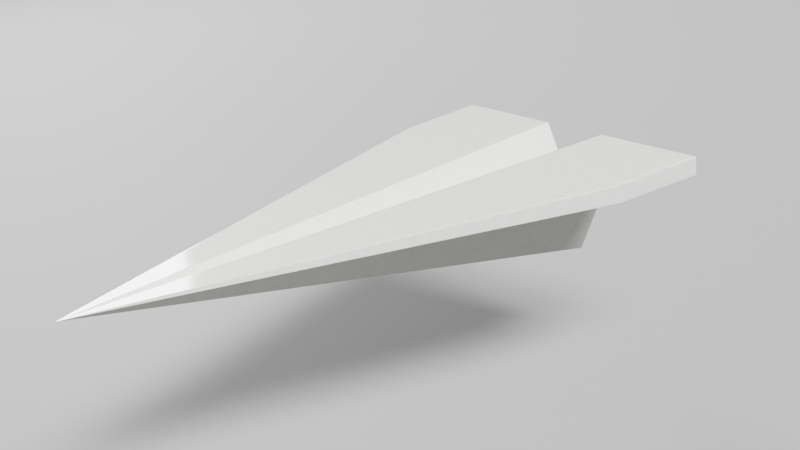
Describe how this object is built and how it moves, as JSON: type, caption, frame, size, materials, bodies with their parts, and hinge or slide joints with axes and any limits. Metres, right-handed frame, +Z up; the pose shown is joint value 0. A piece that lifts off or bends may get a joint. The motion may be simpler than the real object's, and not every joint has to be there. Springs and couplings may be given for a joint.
{
  "type": "paper airplane",
  "caption": "Folded paper dart with a V-shaped keel and two hollow delta wings that hinge on their creases; thrown by hand to glide",
  "frame": {"origin": "the point on the centre plane between finger and thumb where the keel is pinched, 178 mm behind the nose tip and 24 mm below the wing tops", "axes": "+X runs from the nose to the tail along the wings, +Z is up, square to the flat wing tops, and +Y is the pilot's right, so the nose points to -X and the left wing is at -Y"},
  "size_m": [0.2834, 0.1512, 0.067],
  "materials": {
    "wing_paper": "matt white paper with a faint fibre grain and a soft sheen",
    "underside_paper": "matt white paper",
    "edge_paper": "matt white paper, softly creased on both long edges",
    "keel_paper": "matt white paper with a pressed crease along the bottom",
    "groove_paper": "matt white paper",
    "leaf_paper": "matt white paper with a raw cut edge"
  },
  "bodies": {
    "keel_crease": {"keel_crease": "keel_paper"},
    "left_keel": {"left_keel_outer": "keel_paper", "left_keel_inner": "groove_paper", "left_corner_leaf_keel_outer": "leaf_paper", "left_corner_leaf_keel_inner": "leaf_paper"},
    "left_wing": {"left_wing_top": "wing_paper", "left_wing_underside": "underside_paper", "left_leading_edge": "edge_paper", "left_side_edge": "edge_paper", "left_corner_leaf_wing_top": "leaf_paper", "left_corner_leaf_wing_underside": "leaf_paper"},
    "right_keel": {"right_keel_outer": "keel_paper", "right_keel_inner": "groove_paper", "right_corner_leaf_keel_outer": "leaf_paper", "right_corner_leaf_keel_inner": "leaf_paper"},
    "right_wing": {"right_wing_top": "wing_paper", "right_wing_underside": "underside_paper", "right_leading_edge": "edge_paper", "right_side_edge": "edge_paper", "right_corner_leaf_wing_top": "leaf_paper", "right_corner_leaf_wing_underside": "leaf_paper"}
  },
  "joints": [
    {"name": "left_keel_fold", "type": "hinge", "parent": "keel_crease", "child": "left_keel", "pos_m": [-0.178, 0, 0.024], "axis": [0.9742, 0, -0.2258], "range_deg": [-4, 12], "stiffness_Nm_per_rad": 0.05, "springref_deg": -1.48},
    {"name": "right_keel_fold", "type": "hinge", "parent": "keel_crease", "child": "right_keel", "pos_m": [-0.178, 0, 0.024], "axis": [-0.9742, 0, 0.2258], "range_deg": [-4, 12], "stiffness_Nm_per_rad": 0.05, "springref_deg": -1.48},
    {"name": "left_wing_fold", "type": "hinge", "parent": "left_keel", "child": "left_wing", "pos_m": [-0.178, 0, 0.024], "axis": [-0.998, 0.0626, 0], "range_deg": [-10, 25], "stiffness_Nm_per_rad": 0.03, "springref_deg": 1.46},
    {"name": "right_wing_fold", "type": "hinge", "parent": "right_keel", "child": "right_wing", "pos_m": [-0.178, 0, 0.024], "axis": [0.998, 0.0626, 0], "range_deg": [-10, 25], "stiffness_Nm_per_rad": 0.03, "springref_deg": 1.46}
  ],
  "couplings": [
    {"joint": "right_keel_fold", "follows": "left_keel_fold", "ratio": 1}
  ]
}
